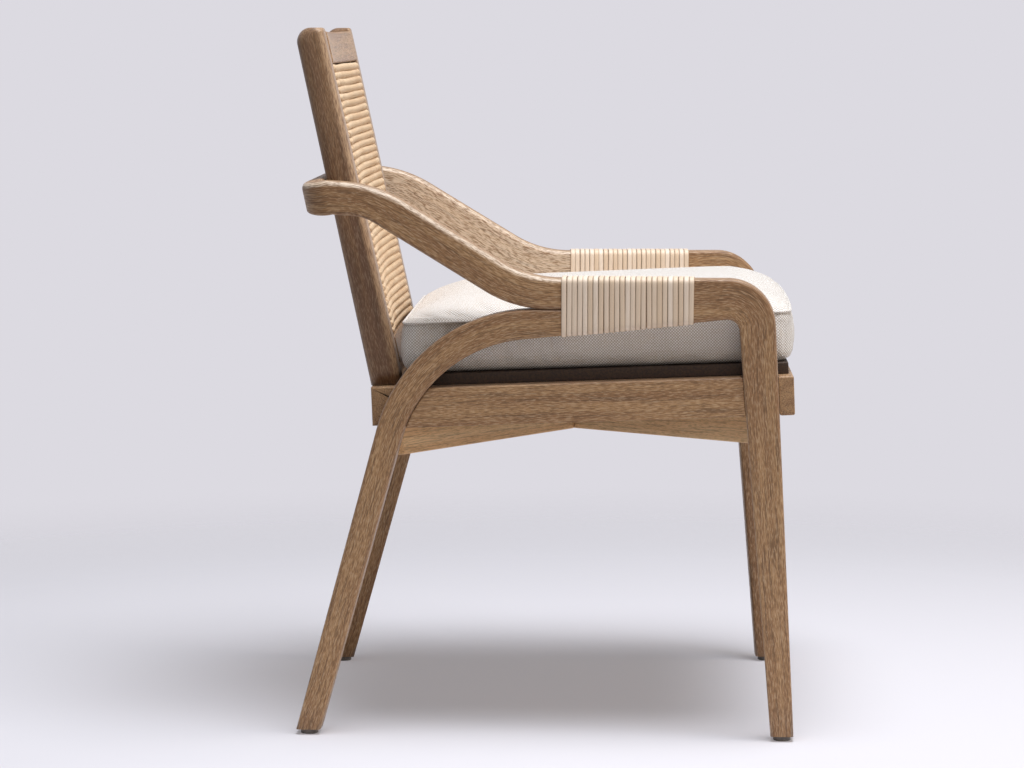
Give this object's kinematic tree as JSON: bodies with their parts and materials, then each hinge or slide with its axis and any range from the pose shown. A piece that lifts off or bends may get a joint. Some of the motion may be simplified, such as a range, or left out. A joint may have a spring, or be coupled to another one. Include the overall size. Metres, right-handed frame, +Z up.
{
  "type": "dining chair with arms",
  "caption": "Dining chair with arms: leaning back woven in rope, bent wooden side frames bound with flat strip at the arms, crossed stretchers and a loose box cushion.",
  "frame": {"origin": "on the floor, under the middle of the chair's width and depth", "axes": "+Z up, -Y the way the sitter faces, -X the sitter's right"},
  "size_m": [0.5712, 0.6092, 0.8636],
  "materials": {
    "brushed_oak": "wire-brushed oak, limed grain, matt",
    "plain_wood": "planed, unfinished",
    "stained_plywood": "dark stained, matt",
    "twisted_rope": "twisted straw-coloured rope",
    "binding_strip": "flat strip, satin",
    "woven_cover": "plain canvas weave",
    "seat_foam": "open-cell foam",
    "zip_tape": "woven zip tape",
    "zip_metal": "enamelled slider",
    "glide_plastic": "moulded, dark",
    "zinc_steel": "zinc plated"
  },
  "bodies": {
    "frame": {"front_leg_right": "brushed_oak", "front_leg_left": "brushed_oak", "rear_leg_right": "brushed_oak", "rear_leg_left": "brushed_oak", "arm_right": "brushed_oak", "arm_left": "brushed_oak", "back_band": "brushed_oak", "front_rail": "brushed_oak", "rear_rail": "brushed_oak", "side_rail_right": "brushed_oak", "side_rail_left": "brushed_oak", "cross_stretcher_over": "brushed_oak", "cross_stretcher_under": "brushed_oak", "back_stile_right": "brushed_oak", "back_stile_left": "brushed_oak", "back_top_rail": "brushed_oak", "back_bottom_rail": "brushed_oak", "band_plugs": "brushed_oak", "front_corner_blocks": "plain_wood", "rear_corner_blocks": "plain_wood", "deck_cleat": "plain_wood", "weave_stakes": "plain_wood", "arm_joint_dowels": "plain_wood", "front_rail_dowels": "plain_wood", "rear_rail_dowels": "plain_wood", "stretcher_dowels": "plain_wood", "stile_dowels": "plain_wood", "back_rail_dowels": "plain_wood", "band_dowels": "plain_wood", "seat_deck": "stained_plywood", "rope_weave": "twisted_rope", "arm_wrap_right": "binding_strip", "arm_wrap_left": "binding_strip", "floor_glides": "glide_plastic", "glide_pins": "zinc_steel", "deck_screws": "zinc_steel", "leg_bolts": "zinc_steel", "band_screws": "zinc_steel"},
    "cushion": {"cushion_cover": "woven_cover", "cushion_foam": "seat_foam", "zip_tape": "zip_tape"},
    "zip_slider": {"zip_slider": "zip_metal"}
  },
  "joints": [
    {"name": "cushion_lift", "type": "slide", "parent": "frame", "child": "cushion", "axis": [0, 0, 1], "range_m": [0, 0.45]},
    {"name": "zip_slide", "type": "slide", "parent": "cushion", "child": "zip_slider", "axis": [1, 0, 0], "range_m": [0, 0.303]}
  ]
}
